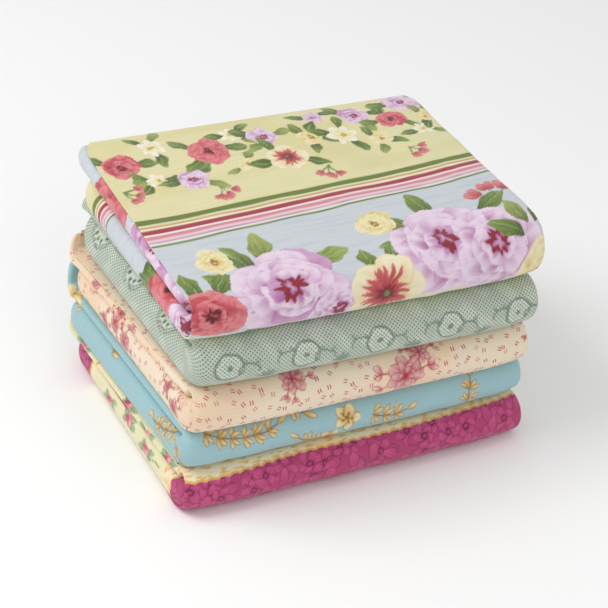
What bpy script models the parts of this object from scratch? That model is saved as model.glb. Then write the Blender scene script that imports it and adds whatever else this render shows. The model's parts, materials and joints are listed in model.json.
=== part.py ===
"""A stack of five folded cuts of printed cotton cloth, lying on a flat surface.

Each cut is half a yard of cloth about 1.14 m wide. It is folded back and forth
in four across its width, and then once in half. The second fold is the round
front edge of the cut, and the turns of the first folding are the long beads
that show at its left and right ends. Each folded cut is one solid: a slice
through its layers, a little apart, swept from the back along the upper half,
round the front fold and back along the lower half.

X runs along the front fold, -Y is the front and Z is up. The origin is at the
bottom centre of the whole stack.
"""

import math
from typing import NamedTuple

import bmesh
import bpy

MM = 0.001

# Driving sizes of a folded cut
FOLDED_WIDTH = 290 * MM
FOLDED_DEPTH = 218 * MM
CLOTH = 2.2 * MM
LAYER_GAP = 0.6 * MM
HALF_GAP = 0.4 * MM
PIECE_GAP = 0.3 * MM

# The front fold: how far it reaches forward of the core, for its half height
NOSE_REACH = 1.05
NOSE_ROUNDING = 5 * MM

# The left end, where the upper half is thin and the lower half is full
CORE_BLEND = 85 * MM
EDGE_INSET = 5 * MM
LOOSE_END_INSET = 62 * MM
DIP_LENGTH = 50 * MM

# The open back, where corners are soft and the upper layers sink a little
CORNER_ZONE = 16 * MM
BACK_DROOP = 2 * MM
CORNER_ROUNDING = 3.5 * MM
FLARE_WIDTH = 90 * MM
FLARE_START = 8 * MM
FLARE_AT_EDGE = 0.75
FLARE_EDGE_WIDTH = 25 * MM

# A turn of the cloth: its depth along X, as a share of its half height and a fixed part
TURN_SHARE = 0.55
TURN_BASE = 1.4 * MM
END_TURN_STEPS = 3
BEAD_STEPS = 5

# Stations of the sweep: shares of a long upper half's extra depth, counted back from the folded
# depth, shares of the way from there to the front fold, and degrees round the front fold
EXTRA_SHARES = (-1.0, -0.85, -0.4)
RUN_SHARES = (0.0, 0.02, 0.07, 0.25, 0.5, 0.75, 0.92, 1.0)
NOSE_DEGREES = (18, 36, 60, 90, 120, 145, 165)

# What brings the box of the whole stack to the middle of X and Y
STACK_SHIFT_X = 0.7 * MM
STACK_SHIFT_Y = -11.25 * MM


class Cut(NamedTuple):
    """One folded cut: its place in the stack and what sets its outline."""

    name: str
    colour: str
    folding: str
    width: float
    shift_x: float
    shift_y: float
    turn: float
    front_left: float
    front_right: float
    back_left: float
    back_right: float
    upper_fold: float
    back_fold: float
    bead_out: float
    bead_taper: float
    upper_taper: float
    lower_short: float
    upper_long: float
    flare: float


# Bottom to top. All lengths are in millimetres, and turn is in degrees. front_left to back_right
# are the cut's heights at its corners. upper_fold and back_fold are the heights of the upper half
# at the left end, at the front and at the back. bead_out is how far the lower bead stands out to
# the left, and bead_taper and upper_taper are how much less the lower and the upper bead do so at
# the back. lower_short and upper_long are what the halves lack and have over the folded depth at
# the back, and flare is how far the back left corner of a long upper half lifts.
CUTS = (
    Cut("magenta_cloth", "C23F78", "loose", 291, -1.2, -4.5, -0.4,
        35.5, 31.5, 33, 31.5, 10, 6, 1, 5, 4, 2, 20, 10),
    Cut("blue_cloth", "9CC8D0", "wrapped", 291, -1.0, 3.9, 0.6,
        34, 30, 32, 30.5, 8.5, 6, 1.5, 1, 4, 4, 22, 22),
    Cut("cream_cloth", "E8D9C3", "loose", 288, -2.6, -1.7, 0.9,
        38, 36, 36.5, 36, 11, 7.5, 1, 5, 3, 0, 16, 14),
    Cut("sage_cloth", "C3CDBB", "wrapped", 287, 0.9, -1.7, -0.2,
        39.5, 40, 47.5, 39.5, 9, 9, 1.5, 3, 8, 5, 14, 14),
    Cut("rose_cloth", "E3DCA9", "loose", 292, -0.6, 1.9, -0.8,
        28.5, 50.5, 46, 53.5, 12.5, 18, 2, 2, 0, 20, 0, 0),
)


class Row(NamedTuple):
    """One stretch or turn of the cloth in a slice through its layers."""

    kind: str
    side: str
    inset: float
    share: float
    under: int
    to_share: float = 0.0
    to_under: int = 0


# Both foldings, from one cut edge of the cloth to the other. inset is the distance in from that
# side. share is the height in the half, from 0 at the core to 1 on the outside, and under counts
# the layers that the cloth lies tight beneath. A turn goes from share and under to to_share and
# to_under. A bead is a turn at the left, which stands out by the station's own reach, and an edge
# is a cut edge of the cloth that shows.
FOLDINGS = {
    "loose": (
        Row("edge", "left", EDGE_INSET, 1.0, 0),
        Row("flat", "left", 45 * MM, 1.0, 0),
        Row("flat", "left", 95 * MM, 1.0, 0),
        Row("flat", "right", 140 * MM, 1.0, 0),
        Row("flat", "right", 90 * MM, 1.0, 0),
        Row("flat", "right", 40 * MM, 1.0, 0),
        Row("turn", "right", 0.0, 1.0, 0, 0.60, 0),
        Row("flat", "right", 60 * MM, 0.68, 0),
        Row("flat", "left", DIP_LENGTH, 0.70, 0),
        Row("bead", "left", 0.0, 1.0, 1, 0.0, 0),
        Row("flat", "left", DIP_LENGTH, 0.40, 0),
        Row("turn", "right", -1.5 * MM, 0.42, 0, 0.0, 0),
        Row("flat", "right", 60 * MM, 0.10, 0),
        Row("flat", "left", LOOSE_END_INSET, 0.10, 0),
    ),
    "wrapped": (
        Row("flat", "left", LOOSE_END_INSET, 0.72, 0),
        Row("flat", "right", 60 * MM, 0.68, 0),
        Row("turn", "right", 0.0, 0.60, 0, 1.0, 0),
        Row("flat", "right", 40 * MM, 1.0, 0),
        Row("flat", "right", 90 * MM, 1.0, 0),
        Row("flat", "right", 140 * MM, 1.0, 0),
        Row("flat", "left", 95 * MM, 1.0, 0),
        Row("flat", "left", 45 * MM, 1.0, 0),
        Row("bead", "left", 0.0, 1.0, 0, 0.0, 0),
        Row("flat", "left", DIP_LENGTH, 0.40, 0),
        Row("turn", "right", -1.5 * MM, 0.42, 0, 0.0, 0),
        Row("flat", "right", 60 * MM, 0.10, 0),
        Row("flat", "left", LOOSE_END_INSET, 0.10, 0),
    ),
}


class Reach(NamedTuple):
    """How far the left bead stands back at one station of the sweep."""

    half: str
    at: float
    loose: float
    wrapped: float


# at is a share of the way to the front on a run, and degrees round the front fold on the nose.
# A loose cut's upper bead ends in a tip just before the front fold, beside a small hole.
REACHES = (
    Reach("upper", -1.0, 1.5, 4.0),
    Reach("upper", 0.0, 1.5, 4.0),
    Reach("upper", 0.9, 3.0, 4.0),
    Reach("nose", 0.0, 4.5, 4.0),
    Reach("nose", 18.0, 11.0, 4.5),
    Reach("nose", 36.0, 8.0, 4.0),
    Reach("nose", 60.0, 3.5, 2.5),
    Reach("nose", 180.0, 1.0, 1.0),
    Reach("lower", 1.0, 0.5, 0.5),
    Reach("lower", 0.0, 0.0, 0.0),
)


def linear_colour(code):
    """The linear colour of a six-digit sRGB code."""
    shares = [int(code[i : i + 2], 16) / 255 for i in (0, 2, 4)]
    return tuple(c / 12.92 if c <= 0.04045 else ((c + 0.055) / 1.055) ** 2.4 for c in shares) + (1.0,)


def smooth(x):
    """An even step from 0 to 1."""
    x = min(max(x, 0.0), 1.0)
    return x * x * (3 - 2 * x)


def stack_point(cut, x, y):
    """Where a point of the cut lies in the stack, seen from above."""
    turn = math.radians(cut.turn)
    across = x * math.cos(turn) - y * math.sin(turn) + cut.shift_x * MM
    along = x * math.sin(turn) + y * math.cos(turn) + cut.shift_y * MM
    return across, along


def level(index, x, y):
    """The height in the stack of the surface on which cut number index lies."""
    right = x / FOLDED_WIDTH + 0.5
    back = y / FOLDED_DEPTH + 0.5
    below = CUTS[:index]
    front_left = sum(cut.front_left for cut in below)
    front_right = sum(cut.front_right for cut in below)
    back_left = sum(cut.back_left for cut in below)
    back_right = sum(cut.back_right for cut in below)
    front = front_left + (front_right - front_left) * right
    rear = back_left + (back_right - back_left) * right
    return (front + (rear - front) * back) * MM


def near_back(y, zone):
    """A share that grows from 0 to 1 over the last stretch before the back, and stays there."""
    return min(max(0.0, 1 - (FOLDED_DEPTH / 2 - y) / zone), 1.0) ** 2


def heights(index, x, y):
    """The underside, core and top of a cut over one of its points."""
    cut = CUTS[index]
    left = -cut.width * MM / 2
    across, along = stack_point(cut, x, y)
    bottom = level(index, across, along) + (PIECE_GAP / 2 if index else 0.0)
    top = level(index + 1, across, along) - PIECE_GAP / 2 - BACK_DROOP * near_back(y, CORNER_ZONE)
    middle = (bottom + top) / 2
    back = smooth(y / FOLDED_DEPTH + 0.5)
    at_left = top - (cut.upper_fold + (cut.back_fold - cut.upper_fold) * back) * MM
    core = at_left + (middle - at_left) * smooth((x - left) / CORE_BLEND)
    beyond = y - FOLDED_DEPTH / 2 - FLARE_START
    if beyond > 0:
        lift = smooth(beyond / (cut.upper_long * MM - FLARE_START))
        lift *= 1 - smooth((x - left) / FLARE_WIDTH)
        lift *= FLARE_AT_EDGE + (1 - FLARE_AT_EDGE) * smooth((x - left) / FLARE_EDGE_WIDTH)
        top += cut.flare * MM * lift
    return bottom, core, top


def ray(index, half, at, x):
    """The start, direction and length of the line through the layers at one station and one x."""
    cut = CUTS[index]
    half_width = cut.width * MM / 2
    x = min(max(x, -half_width), half_width)
    front = -FOLDED_DEPTH / 2 + NOSE_ROUNDING * (x / half_width) ** 8
    bottom, _, top = heights(index, x, front)
    reach = NOSE_REACH * (top - bottom) / 2
    core_y = front + reach
    if half != "nose":
        back_y = FOLDED_DEPTH / 2 - (cut.lower_short * MM if half == "lower" else 0.0)
        y = back_y + (core_y - back_y) * at if at > 0 else back_y - cut.upper_long * MM * at
        bottom, core, top = heights(index, x, y)
        if half == "upper":
            return (y, core), (0.0, 1.0), top - core
        return (y, core), (0.0, -1.0), core - bottom
    bottom, core, top = heights(index, x, core_y)
    angle = math.radians(at)
    forward = -reach * math.sin(angle)
    rise = (top + bottom) / 2 + (top - bottom) / 2 * math.cos(angle) - core
    length = math.hypot(forward, rise)
    return (core_y, core), (forward / length, rise / length), length


def bead_inset(cut, half, at):
    """How far the left bead stands back from the left side at one station."""
    rows = sorted((row for row in REACHES if row.half == half), key=lambda row: row.at)
    column = Reach._fields.index(cut.folding)
    inset = rows[-1][column]
    for before, after in zip(rows, rows[1:]):
        if before.at <= at <= after.at:
            share = (at - before.at) / (after.at - before.at)
            inset = before[column] + (after[column] - before[column]) * share
            break
    if half == "lower" or (half == "nose" and at >= 60):
        inset -= cut.bead_out
    return inset * MM


def corner_inset(cut, half, at):
    """How far a back corner stands in from the side, as on a soft corner."""
    if half == "nose":
        return 0.0
    from_back = at * FOLDED_DEPTH if at > 0 else at * cut.upper_long * MM
    if half == "upper":
        from_back += cut.upper_long * MM
    return CORNER_ROUNDING * max(0.0, 1 - from_back / CORNER_ZONE) ** 2


def taper_inset(cut, half, at):
    """How far the left side of a half stands in towards the back."""
    if half == "lower":
        return cut.bead_taper * MM * (1 - at)
    if half == "upper":
        return cut.upper_taper * MM * max(0.0, -at)
    return 0.0


class Middle(NamedTuple):
    """A point in the middle of the cloth. At a level one the faces lie straight above and below."""

    x: float
    out: float
    level: bool


def centre_line(index, half, at):
    """The middle of the cloth in one slice, as distances along X and out from the core."""
    cut = CUTS[index]

    def height(x, share, under):
        room = ray(index, half, at, x)[2] - HALF_GAP - CLOTH
        return CLOTH / 2 + share * room - under * (CLOTH + LAYER_GAP)

    line = []
    for row in FOLDINGS[cut.folding]:
        sign = -1 if row.side == "left" else 1
        inset = row.inset
        if row.kind == "bead":
            inset += bead_inset(cut, half, at)
        if row.kind != "flat":
            inset += corner_inset(cut, half, at)
        if row.kind in ("bead", "edge"):
            inset += taper_inset(cut, half, at)
        x = sign * (cut.width * MM / 2 - inset)
        if row.kind in ("flat", "edge"):
            line.append(Middle(x, height(x, row.share, row.under), True))
            continue
        steps = BEAD_STEPS if row.kind == "bead" else END_TURN_STEPS
        tall = abs(height(x, row.share, row.under) - height(x, row.to_share, row.to_under))
        depth = TURN_SHARE * tall / 2 + TURN_BASE
        centre = x - sign * (depth + CLOTH / 2)
        for step in range(steps + 1):
            angle = math.pi * step / steps
            there = centre + sign * depth * math.sin(angle)
            start = height(there, row.share, row.under)
            end = height(there, row.to_share, row.to_under)
            out = (start + end) / 2 + (start - end) / 2 * math.cos(angle)
            line.append(Middle(there, out, step in (0, steps)))
    return line


def unit(before, after):
    """The direction from one point of the line to another."""
    length = math.hypot(after.x - before.x, after.out - before.out)
    return (after.x - before.x) / length, (after.out - before.out) / length


def two_faces(line):
    """The points on both faces of the cloth whose middle is this line."""
    first = []
    second = []
    ways = [unit(before, after) for before, after in zip(line, line[1:])]
    for point, way_in, way_on in zip(line, ways[:1] + ways, ways + ways[-1:]):
        way_x = way_in[0] + way_on[0]
        way_out = way_in[1] + way_on[1]
        if point.level:
            across = 0.0
            out = math.copysign(CLOTH / 2, way_x)
        else:
            length_squared = way_x**2 + way_out**2
            across = -CLOTH * way_out / length_squared
            out = CLOTH * way_x / length_squared
        first.append((point.x + across, point.out + out))
        second.append((point.x - across, point.out - out))
    return first, second


def placed(index, half, at, point):
    """A point of a slice, in the stack."""
    x, out = point
    start, way, _ = ray(index, half, at, x)
    y = start[0] + way[0] * (HALF_GAP + out)
    z = start[1] + way[1] * (HALF_GAP + out)
    across, along = stack_point(CUTS[index], x, y)
    return across + STACK_SHIFT_X, along + STACK_SHIFT_Y, z


def stations(cut):
    """The halves and positions that the sweep passes, from the upper back to the lower back."""
    extra = EXTRA_SHARES if cut.upper_long else ()
    upper = [("upper", share) for share in extra + RUN_SHARES]
    nose = [("nose", degrees) for degrees in NOSE_DEGREES]
    lower = [("lower", share) for share in reversed(RUN_SHARES)]
    return upper + nose + lower


def folded_cloth(index):
    """One folded cut as a closed mesh."""
    mesh = bmesh.new()
    rings = []
    for half, at in stations(CUTS[index]):
        first, second = two_faces(centre_line(index, half, at))
        rings.append(
            (
                [mesh.verts.new(placed(index, half, at, point)) for point in first],
                [mesh.verts.new(placed(index, half, at, point)) for point in second],
            )
        )
    count = len(rings[0][0])
    for one, two in zip(rings, rings[1:]):
        for face in (0, 1):
            for i in range(count - 1):
                mesh.faces.new((one[face][i], one[face][i + 1], two[face][i + 1], two[face][i]))
        for i in (0, count - 1):
            mesh.faces.new((one[0][i], two[0][i], two[1][i], one[1][i]))
    for ring in (rings[0], rings[-1]):
        for i in range(count - 1):
            mesh.faces.new((ring[0][i], ring[1][i], ring[1][i + 1], ring[0][i + 1]))
    bmesh.ops.recalc_face_normals(mesh, faces=mesh.faces)
    return mesh


def cotton(cut):
    """Plain printed cotton in the cut's main colour."""
    material = bpy.data.materials.new(cut.name + "_cotton")
    material.use_nodes = True
    shader = material.node_tree.nodes["Principled BSDF"]
    shader.inputs["Base Color"].default_value = linear_colour(cut.colour)
    shader.inputs["Roughness"].default_value = 0.85
    shader.inputs["Metallic"].default_value = 0.0
    return material


def add_cut(index):
    """The object of one folded cut."""
    cut = CUTS[index]
    data = bpy.data.meshes.new(cut.name)
    mesh = folded_cloth(index)
    mesh.to_mesh(data)
    mesh.free()
    data.materials.append(cotton(cut))
    data.shade_smooth()
    data.set_sharp_from_angle(angle=math.radians(50))
    bpy.context.scene.collection.objects.link(bpy.data.objects.new(cut.name, data))


for old in list(bpy.data.objects):
    bpy.data.objects.remove(old)
for number in range(len(CUTS)):
    add_cut(number)
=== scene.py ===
"""Studio view of a stack of five folded cuts of printed cotton, laid on a pale floor."""

import json
import math
from functools import partial
from typing import NamedTuple

import bmesh
import bpy
import numpy as np
from mathutils import Matrix, Vector

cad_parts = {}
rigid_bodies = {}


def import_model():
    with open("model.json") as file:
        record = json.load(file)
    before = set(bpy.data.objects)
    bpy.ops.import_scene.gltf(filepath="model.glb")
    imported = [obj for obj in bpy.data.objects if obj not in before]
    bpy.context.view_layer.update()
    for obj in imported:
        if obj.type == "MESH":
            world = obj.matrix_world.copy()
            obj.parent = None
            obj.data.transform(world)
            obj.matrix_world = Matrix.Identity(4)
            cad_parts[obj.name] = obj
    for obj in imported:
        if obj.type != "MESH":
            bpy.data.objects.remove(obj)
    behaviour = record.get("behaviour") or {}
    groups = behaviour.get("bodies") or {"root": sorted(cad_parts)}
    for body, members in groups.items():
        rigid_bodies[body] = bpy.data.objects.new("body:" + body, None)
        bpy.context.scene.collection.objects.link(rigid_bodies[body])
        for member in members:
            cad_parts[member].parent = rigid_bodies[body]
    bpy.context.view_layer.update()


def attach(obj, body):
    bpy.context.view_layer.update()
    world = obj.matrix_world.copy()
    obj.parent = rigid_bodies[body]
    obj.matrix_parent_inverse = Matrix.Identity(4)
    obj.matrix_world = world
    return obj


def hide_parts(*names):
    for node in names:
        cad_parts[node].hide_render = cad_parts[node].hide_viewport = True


for old in list(bpy.data.objects):
    bpy.data.objects.remove(old)
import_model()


# Bottom cut: half a yard of plain-woven quilting cotton, magenta with a tone-on-tone flower
# print, a gold trim and a cream ground with small buds. It is folded back and forth in four across
# its width and then once in half, so that its front is one round fold.
MM = 0.001
FOLDED_WIDTH = 290 * MM
FOLDED_DEPTH = 218 * MM
CLOTH = 1.1 * MM
LAYER_GAP = 0.7 * MM
HALF_GAP = 0.4 * MM
PIECE_GAP = 0.3 * MM
NOSE_REACH = 1.05
NOSE_ROUNDING = 5 * MM
CORE_BLEND = 85 * MM
FLARE_WIDTH = 90 * MM
FLARE_START = 8 * MM
FLARE_AT_EDGE = 0.75
FLARE_EDGE_WIDTH = 25 * MM
EDGE_INSET = 5 * MM
EDGE_FRONT = 2 * MM
LOOSE_END_INSET = 62 * MM
RISE_INSET = 60 * MM
DIP_LENGTH = 50 * MM
INNER_TURN_OUT = 1.5 * MM
CORNER_ZONE = 16 * MM
BACK_DROOP = 2 * MM
CORNER_ROUNDING = 3.5 * MM
EDGE_CORNER = 9 * MM
EDGE_CORNER_ZONE = 24 * MM
TURN_SHARE = 0.55
TURN_BASE = 1.4 * MM
STACK_SHIFT = (0.7 * MM, -11.25 * MM)


class Cut(NamedTuple):
    """One folded cut, in millimetres, with its turn in degrees."""

    folding: str
    width: float
    shift_x: float
    shift_y: float
    turn: float
    front_left: float
    front_right: float
    back_left: float
    back_right: float
    upper_fold: float
    back_fold: float
    bead_out: float
    bead_taper: float
    upper_taper: float
    lower_short: float
    upper_long: float = 0
    flare: float = 0


class Knot(NamedTuple):
    """A place in a slice: its side, the distance in from it, the share of the half's height, and
    the number of layers that it lies tight beneath."""

    side: str
    inset: float
    share: float
    under: int = 0


class Stretch(NamedTuple):
    """One flat stretch of cloth in a slice through the layers, or one turn at its side."""

    name: str
    kind: str
    cells: int
    knots: tuple


LOWER_LAYERS = (
    Stretch(
        "third", "flat", 8, (Knot("last", 0, 0.0), Knot("left", DIP_LENGTH, 0.40), Knot("next", 0, 0.42))
    ),
    Stretch(
        "inner_turn", "turn", 1, (Knot("right", -INNER_TURN_OUT, 0.42), Knot("right", -INNER_TURN_OUT, 0.0))
    ),
    Stretch(
        "last", "flat", 6,
        (Knot("last", 0, 0.0), Knot("right", RISE_INSET, 0.10), Knot("left", LOOSE_END_INSET, 0.10)),
    ),
)
FOLDINGS = {
    "loose": (
        Stretch("top", "flat", 33, (Knot("edge", EDGE_INSET, 1.0), Knot("next", 0, 1.0))),
        Stretch("turn", "turn", 1, (Knot("right", 0, 1.0), Knot("right", 0, 0.60))),
        Stretch(
            "second", "flat", 8,
            (
                Knot("last", 0, 0.60), Knot("right", RISE_INSET, 0.68), Knot("left", DIP_LENGTH, 0.70),
                Knot("next", 0, 1.0, 1),
            ),
        ),
        Stretch("bead", "turn", 3, (Knot("left", 0, 1.0, 1), Knot("left", 0, 0.0))),
        *LOWER_LAYERS,
    ),
    "wrapped": (
        Stretch(
            "first", "flat", 6,
            (Knot("left", LOOSE_END_INSET, 0.72), Knot("right", RISE_INSET, 0.68), Knot("next", 0, 0.60)),
        ),
        Stretch("turn", "turn", 1, (Knot("right", 0, 0.60), Knot("right", 0, 1.0))),
        Stretch("top", "flat", 33, (Knot("last", 0, 1.0), Knot("next", 0, 1.0))),
        Stretch("bead", "turn", 3, (Knot("left", 0, 1.0), Knot("left", 0, 0.0))),
        *LOWER_LAYERS,
    ),
}
# How far the left bead stands back along the sweep, in millimetres. The sweep runs from -1, the end
# of a long upper half, by 0 and 1 along the folded depth and 2 round the front, to 3 at the back.
BEAD_REACH = {
    "loose": (
        (-1, 1.5), (0, 1.5), (0.9, 3.0), (1.0, 4.5), (1.1, 11.0), (1.2, 8.0), (1.33, 3.5), (2, 0.7), (3, 0),
    ),
    "wrapped": ((-1, 4.0), (1.0, 4.0), (1.1, 4.5), (1.2, 4.0), (1.33, 2.5), (2, 0.7), (3, 0)),
}
# Where in the sweep the full lower bead starts, how far it takes to, and how gently the front does
LOWER_START, LOWER_RAMP, FRONT_RAMP = 1.2, 0.13, 0.15
# Cells of the sweep: the long end of an upper half, its run, the round front, the lower run
SWEEP = (("extra", -1.0, 0.0, 2), ("upper", 0.0, 1.0, 25), ("nose", 1.0, 2.0, 8), ("lower", 2.0, 3.0, 25))
FINE = 8
# Cells of the top layer beside the left end, which the cut above may leave in sight
MARGIN_CELLS = 3
stack = []


def smooth(x):
    """An even step from 0 to 1."""
    x = np.clip(x, 0.0, 1.0)
    return x * x * (3 - 2 * x)


def between(q, start, rise, end, fall):
    """A share that rises from 0 to 1 past the start, and falls back past the end."""
    return smooth((q - start) / rise) * (1 - smooth((q - end) / fall))


def level(count, x, y):
    """The height of the surface over the lowest count cuts."""
    right = x / FOLDED_WIDTH + 0.5
    back = y / FOLDED_DEPTH + 0.5
    corners = ("front_left", "front_right", "back_left", "back_right")
    front_left, front_right, back_left, back_right = (
        sum(getattr(cut, corner) for cut in stack[:count]) for corner in corners
    )
    front = front_left + (front_right - front_left) * right
    rear = back_left + (back_right - back_left) * right
    return (front + (rear - front) * back) * MM


def in_stack(cut, x, y):
    """Where a point of the cut lies in the stack, seen from above."""
    turn = math.radians(cut.turn)
    across = x * math.cos(turn) - y * math.sin(turn) + cut.shift_x * MM
    return across, x * math.sin(turn) + y * math.cos(turn) + cut.shift_y * MM


def heights(number, x, y):
    """The underside, core and top of a cut over its own points."""
    cut = stack[number]
    left = -cut.width * MM / 2
    across, along = in_stack(cut, x, y)
    bottom = level(number, across, along) + (PIECE_GAP / 2 if number else 0.0)
    near_back = np.clip(1 - (FOLDED_DEPTH / 2 - y) / CORNER_ZONE, 0.0, 1.0) ** 2
    top = level(number + 1, across, along) - PIECE_GAP / 2 - BACK_DROOP * near_back
    back = smooth(y / FOLDED_DEPTH + 0.5)
    at_left = top - (cut.upper_fold + (cut.back_fold - cut.upper_fold) * back) * MM
    core = at_left + ((bottom + top) / 2 - at_left) * smooth((x - left) / CORE_BLEND)
    if cut.upper_long:
        lift = smooth((y - FOLDED_DEPTH / 2 - FLARE_START) / (cut.upper_long * MM - FLARE_START))
        lift = lift * (1 - smooth((x - left) / FLARE_WIDTH))
        lift = lift * (FLARE_AT_EDGE + (1 - FLARE_AT_EDGE) * smooth((x - left) / FLARE_EDGE_WIDTH))
        top = top + cut.flare * MM * lift
    return bottom, core, top


def ray(number, q, x):
    """The start, direction and length of the lines through the layers at one place of the sweep."""
    cut = stack[number]
    half_width = cut.width * MM / 2
    x = np.clip(x, -half_width, half_width)
    front = -FOLDED_DEPTH / 2 + NOSE_ROUNDING * (x / half_width) ** 8
    bottom, _, top = heights(number, x, front)
    reach = NOSE_REACH * (top - bottom) / 2
    core_y = front + reach
    if 1 <= q <= 2:
        bottom, core, top = heights(number, x, core_y)
        angle = math.pi * (q - 1)
        forward = -reach * math.sin(angle)
        rise = (top + bottom) / 2 + (top - bottom) / 2 * math.cos(angle) - core
        length = np.hypot(forward, rise)
        return core_y, core, forward / length, rise / length, length
    if q < 1:
        back_y = FOLDED_DEPTH / 2
        y = back_y + (core_y - back_y) * q if q > 0 else back_y - cut.upper_long * MM * q + 0 * x
        bottom, core, top = heights(number, x, y)
        return y, core, 0 * x, 1 + 0 * x, top - core
    back_y = FOLDED_DEPTH / 2 - cut.lower_short * MM
    y = back_y + (core_y - back_y) * (3 - q)
    bottom, core, top = heights(number, x, y)
    return y, core, 0 * x, -1 + 0 * x, core - bottom


def side_inset(cut, q, kind):
    """How far the left bead, a cut edge or a right turn stands in from the side of the cut."""
    inset = 0.0
    if kind == "bead":
        inset = np.interp(q, *zip(*BEAD_REACH[cut.folding]))
        inset -= cut.bead_out * smooth((q - LOWER_START) / LOWER_RAMP)
    if kind in ("bead", "edge"):
        inset += cut.bead_taper * max(0.0, q - 2) + cut.upper_taper * max(0.0, -q)
    from_back = max(q, 0.0) * FOLDED_DEPTH + (1 + min(q, 0.0)) * cut.upper_long * MM
    if q > 2:
        from_back = (3 - q) * FOLDED_DEPTH
    if kind == "edge" and q < 1:
        return inset * MM + EDGE_CORNER * max(0.0, 1 - from_back / EDGE_CORNER_ZONE) ** 2
    return inset * MM + CORNER_ROUNDING * max(0.0, 1 - from_back / CORNER_ZONE) ** 2


def slice_line(number, q):
    """The middle of the cloth in one slice: X, distance out from the core, and which parts are flat."""
    cut = stack[number]
    half_width = cut.width * MM / 2
    stretches = FOLDINGS[cut.folding]
    on_front = between(q, LOWER_START, FRONT_RAMP, 2.0, FRONT_RAMP)

    def height(x, share, under):
        room = ray(number, q, x)[4] - HALF_GAP - CLOTH
        return CLOTH / 2 + share * room - under * (CLOTH + LAYER_GAP)

    def turn_of(stretch):
        side, inset, share, under = stretch.knots[0]
        sign = -1 if side == "left" else 1
        x = sign * (half_width - inset - side_inset(cut, q, "bead" if side == "left" else "turn"))
        tall = abs(height(x, share, under) - height(x, *stretch.knots[1][2:]))
        depth = TURN_SHARE * tall / 2 + TURN_BASE
        return x - sign * (depth + CLOTH / 2), sign * depth

    def place_of(knot, place):
        if knot.side == "last":
            return turn_of(stretches[place - 1])[0]
        if knot.side == "next":
            return turn_of(stretches[place + 1])[0]
        inset = knot.inset
        if knot.side == "edge":
            inset = inset + side_inset(cut, q, "edge") - EDGE_FRONT * on_front
        return (half_width - inset) * (1 if knot.side == "right" else -1)

    xs, outs, flats = [], [], []
    for place, stretch in enumerate(stretches):
        at = np.linspace(0, 1, stretch.cells * FINE + 1)
        if stretch.kind == "turn":
            centre, depth = turn_of(stretch)
            bulge = np.sin(math.pi * at)
            if stretch.name == "bead":
                # At the front the bead closes into a smooth round end, but for a small hole
                closed = between(q, LOWER_START, FRONT_RAMP, 1.95, FRONT_RAMP)
                closed = closed * smooth((at - 0.5) / 0.1) * smooth((1 - at) / 0.08)
                bulge = bulge + (1 - bulge) * closed
            x = centre + depth * bulge
            start = height(x, *stretch.knots[0][2:])
            end = height(x, *stretch.knots[1][2:])
            out = (start + end) / 2 + (start - end) / 2 * np.cos(math.pi * at)
            flat = np.zeros(len(at), bool)
            flat[[0, -1]] = True
        else:
            ends = [place_of(knot, place) for knot in stretch.knots]
            run = np.concatenate([[0], np.cumsum(np.abs(np.diff(ends)))])
            at = at * run[-1]
            x = np.interp(at, run, ends)
            share = np.interp(at, run, [knot.share for knot in stretch.knots])
            out = height(x, share, np.interp(at, run, [knot.under for knot in stretch.knots]))
            flat = np.ones(len(at), bool)
            if stretch.name == "top" and cut.folding == "loose":
                # The free edge lies down on the round front end of the bead
                centre, depth = turn_of(stretches[3])
                over = np.clip((centre - x) / (CLOTH + LAYER_GAP - depth), 0, 0.97)
                out = out - on_front * out / 2 * (1 - np.sqrt(1 - over**2))
                flat = over == 0
        keep = slice(1 if place else 0, None)
        xs.append(x[keep])
        outs.append(out[keep])
        flats.append(flat[keep])
    return np.concatenate(xs), np.concatenate(outs), np.concatenate(flats)


class Lattice(NamedTuple):
    """The finest points of the outer and the inner face, and where each is on the flat cloth: u
    across it and t along the sweep. q is the place in the sweep, and arc the distance round the bead."""

    faces: np.ndarray
    u: np.ndarray
    t: np.ndarray
    q: np.ndarray
    arc: np.ndarray
    columns: list
    rows: list


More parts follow.
